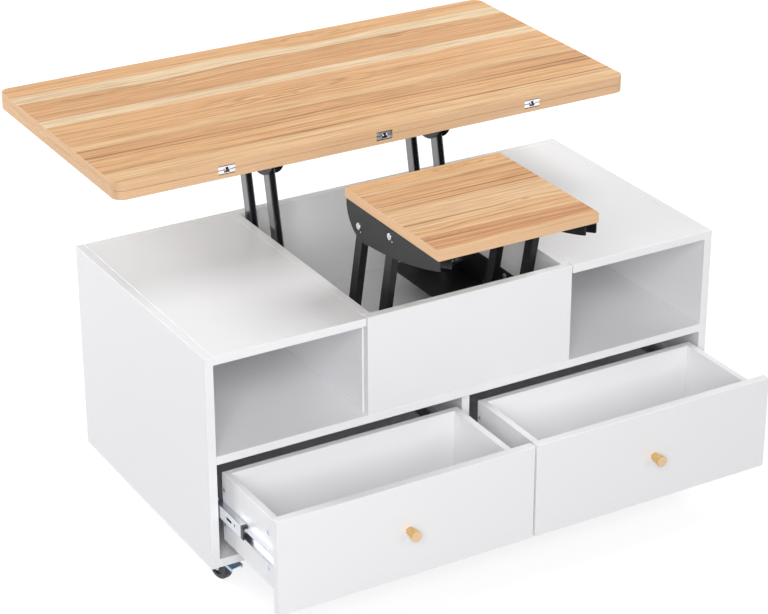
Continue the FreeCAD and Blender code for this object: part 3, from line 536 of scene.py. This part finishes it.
def rail_with_cap(node):
    """Rolled zinc-plated rail whose front end is a black moulded cap."""
    material, tree = start_finish("steel_rolled_rail_with_moulded_cap")
    place = add(tree, "TexCoord", out="Object")
    back = add(tree, "SeparateXYZ", {"Vector": place}, "Y")
    is_rail = add(tree, "Math", {0: back, 1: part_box(node)[0].y + CAP_MM * MM}, operation="GREATER_THAN")
    roll = add(tree, "TexNoise", {"Vector": add(tree, "Mapping", {"Vector": place,
                                                                  "Scale": per_metre(*ROLL_LINE_MM)}),
                                  "Scale": 1.0, "Detail": 2.0})
    metal = add(tree, "Mix", {"Factor": roll, MIX_A: linear("#DFE2E6"), MIX_B: linear("#BFC4CA")}, MIX_RESULT,
                data_type="RGBA")
    colour = add(tree, "Mix", {"Factor": is_rail, MIX_A: linear("#1B1B1D"), MIX_B: metal}, MIX_RESULT,
                 data_type="RGBA")
    gloss = add(tree, "MapRange", {"Value": roll, "To Min": 0.2, "To Max": 0.42})
    return close_finish(material, {"Base Color": colour, "Metallic": is_rail, "Roughness": gloss})


capped_rail = rail_with_cap("left_slide_middle_rails")

# %% [markdown]
# ## Caster wheels
# The wheels are moulded black nylon. Nylon is slightly waxy: black, with a soft broad shine, and a fine grain
# on the tread where it has rolled.

# %% Nylon
SCUFF_MM = 3.0


def nylon_moulded():
    """Waxy black plastic with a faintly scuffed tread."""
    material, tree = start_finish("nylon_moulded_black")
    scuff = add(tree, "TexNoise", {"Vector": add(tree, "TexCoord", out="Object"),
                                   "Scale": per_metre(SCUFF_MM), "Detail": 3.0})
    colour = add(tree, "Mix", {"Factor": scuff, MIX_A: linear("#141416"), MIX_B: linear("#252528")},
                 MIX_RESULT, data_type="RGBA")
    gloss = add(tree, "MapRange", {"Value": scuff, "To Min": 0.34, "To Max": 0.55})
    return close_finish(material, {"Base Color": colour, "Roughness": gloss, "IOR": 1.53})


nylon = nylon_moulded()

# %% [markdown]
# ## Give every node its finish
# The record says which finish each node takes, so one table goes from the record's slots to the materials
# above. A few nodes then get a closer match than their slot, found by how their names begin: drawer boards
# with banding on top, each board's own oak, the top's glossier arms, the capped rails, the casters' bluer
# zinc and the hinges' knuckles, darkened as painted shade of their notches. What is on a drawer and isn't a
# white board keeps its slot's finish.

# %% Assign the finishes
slot_finish = {"white_melamine": white_carcass, "oak_laminate": leaf_oak, "turned_beech": beech,
               "black_steel": black_powder, "zinc_steel": zinc, "hinge_chrome": nickel, "wheel_nylon": nylon}
closer_finish = {"left_drawer_": white_front, "right_drawer_": white_front, "well_front_panel": white_front,
                 "back_panel": white_front, "platform_board": platform_oak, "top_lower_board": lower_oak,
                 "top_front_arms": black_enamel, "top_rear_arms": black_enamel,
                 "left_slide_middle": capped_rail, "right_slide_middle": capped_rail,
                 "caster_fork": blue_zinc, "caster_plates": blue_zinc, "brake_pedal": blue_zinc,
                 # The knuckles' dark finish is painted shade of their notches.
                 "hinge_knuckles": knuckle_painted_shade_metal}
for part in frame["record"]["subparts"]:
    finish = slot_finish[part["material_slot"]]
    for start, closer in closer_finish.items():
        if part["node"].startswith(start) and (closer is not white_front or finish is white_carcass):
            finish = closer
    for slot in nodes[part["node"]].material_slots:
        slot.material = finish

# %% [markdown]
# ## Pins on the platform's brackets
# Below each bolt of the platform's brackets the end of a small locating pin shows as a bright dot. It is too
# fine for the model, so each is a flattened ball here, half sunk in the bracket, and all four are one piece
# that rides with the platform.

# %% Locating pins
PIN_R_MM = 1.5
PIN_PROUD_MM = 0.8
PIN_FORWARD_MM = 5.7
PIN_BELOW_MM = 7.9
PIN_ROUNDNESS = 2
BOLT_HEAD_R_MM = 6.0


def locating_pins():
    """Four low domes in one mesh, two on each side of the platform."""
    low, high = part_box("platform_bracket_bolts")
    head = BOLT_HEAD_R_MM * MM
    size = Matrix.Diagonal((PIN_PROUD_MM * MM, PIN_R_MM * MM, PIN_R_MM * MM, 1.0))
    shape = bmesh.new()
    for y, z in ((high.y - head, low.z + head), (low.y + head, high.z - head)):
        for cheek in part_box("platform_brackets"):
            spot = Vector((cheek.x, y - PIN_FORWARD_MM * MM, z - PIN_BELOW_MM * MM))
            bmesh.ops.create_icosphere(shape, subdivisions=PIN_ROUNDNESS, radius=1.0,
                                       matrix=Matrix.Translation(spot) @ size)
    mesh = bpy.data.meshes.new("platform_locating_pins")
    shape.to_mesh(mesh)
    shape.free()
    mesh.shade_smooth()
    mesh.materials.append(zinc)
    pins = bpy.data.objects.new("platform_locating_pins", mesh)
    scene.collection.objects.link(pins)
    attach(pins, "platform_carriage")
    return pins


pins = locating_pins()
print("pins at", [round(v, 4) for v in pins.data.vertices[0].co], "and", len(pins.data.polygons), "faces")

# %% [markdown]
# ## Floor, light and background
# The table stands in a white studio. The main soft lamp hangs just behind the camera, so it shines into the
# open shelves, the well and the drawers as deep as the camera sees. Two large lamps from behind, one at the
# left and one high at the right, light the side and the tops, and a weak one at the front right throws the
# faint shadows of the knobs to the left. The room is the world's own colour: the camera, and anything shiny,
# sees it as pure white, while it lights the table at a plainer level. The floor gets a little light of its
# own in the same way, more of it far from the lamps, so that it meets the white of the background and still
# shows the table's shadow.

# %% Studio
ROOM_LIGHT = 0.2
LAMPS = (("camera_softbox", (-2.17, -3.74, 2.38), 2.4, 130.0),
         ("back_left_softbox", (-2.5, 3.5, 2.2), 2.5, 131.0),
         ("upper_right_softbox", (2.6, 0.6, 3.4), 2.0, 68.0),
         ("right_softbox", (1.6, -3.9, 1.8), 1.2, 19.0))
LAMP_TARGET = Vector((0.0, 0.0, 0.3))
FLOOR_HALF = 40.0
FLOOR_LIFT = (0.75, 0.92)
FLOOR_NEAR_FAR = (1.8, 5.0)


def seen_directly(tree):
    """One for what the camera sees, itself or in a mirror, and zero for what only lights the table."""
    seen = 0.0
    for ray in ("Is Camera Ray", "Is Glossy Ray", "Is Transmission Ray"):
        seen = add(tree, "Math", {0: add(tree, "LightPath", out=ray), 1: seen}, operation="MAXIMUM")
    return seen


def white_room():
    """The world: white to the camera and to shiny things, a plainer level as light."""
    world = bpy.data.worlds.new("white_studio")
    world.use_nodes = True
    tree = world.node_tree
    level = add(tree, "MapRange", {"Value": seen_directly(tree), "To Min": ROOM_LIGHT, "To Max": 1.0})
    wire(tree, tree.nodes["Background"], {"Color": linear("#FFFFFF"), "Strength": level})
    return world


def pale_floor():
    """A floor that takes the shadow and meets the white background."""
    mesh = bpy.data.meshes.new("floor")
    half = FLOOR_HALF
    corners = [(-half, -half, 0), (half, -half, 0), (half, half, 0), (-half, half, 0)]
    mesh.from_pydata(corners, [], [(0, 1, 2, 3)])
    floor = bpy.data.objects.new("floor", mesh)
    scene.collection.objects.link(floor)
    material, tree = start_finish("studio_floor_painted_white")
    away = add(tree, "VectorMath", {0: add(tree, "TexCoord", out="Object")}, "Value", operation="LENGTH")
    own = add(tree, "MapRange", {"Value": away, "From Min": FLOOR_NEAR_FAR[0], "From Max": FLOOR_NEAR_FAR[1],
                                 "To Min": FLOOR_LIFT[0], "To Max": FLOOR_LIFT[1]})
    lift = add(tree, "Math", {0: seen_directly(tree), 1: own}, operation="MULTIPLY")
    mesh.materials.append(close_finish(material, {"Base Color": linear("#ADADB0"), "Roughness": 0.8,
                                                  "Emission Color": linear("#FFFFFF"),
                                                  "Emission Strength": lift}))
    return floor


def soft_lamp(name, place, size, watts):
    """One large square lamp, aimed at the table."""
    lamp = bpy.data.objects.new(name, bpy.data.lights.new(name, "AREA"))
    lamp.data.size = size
    lamp.data.energy = watts
    lamp.location = place
    lamp.rotation_euler = (LAMP_TARGET - Vector(place)).to_track_quat("-Z", "Y").to_euler()
    scene.collection.objects.link(lamp)
    return lamp


scene.world = white_room()
floor = pale_floor()
lamps = [soft_lamp(*lamp) for lamp in LAMPS]
print(floor.name, "and", [lamp.name for lamp in lamps], "in", scene.world.name)
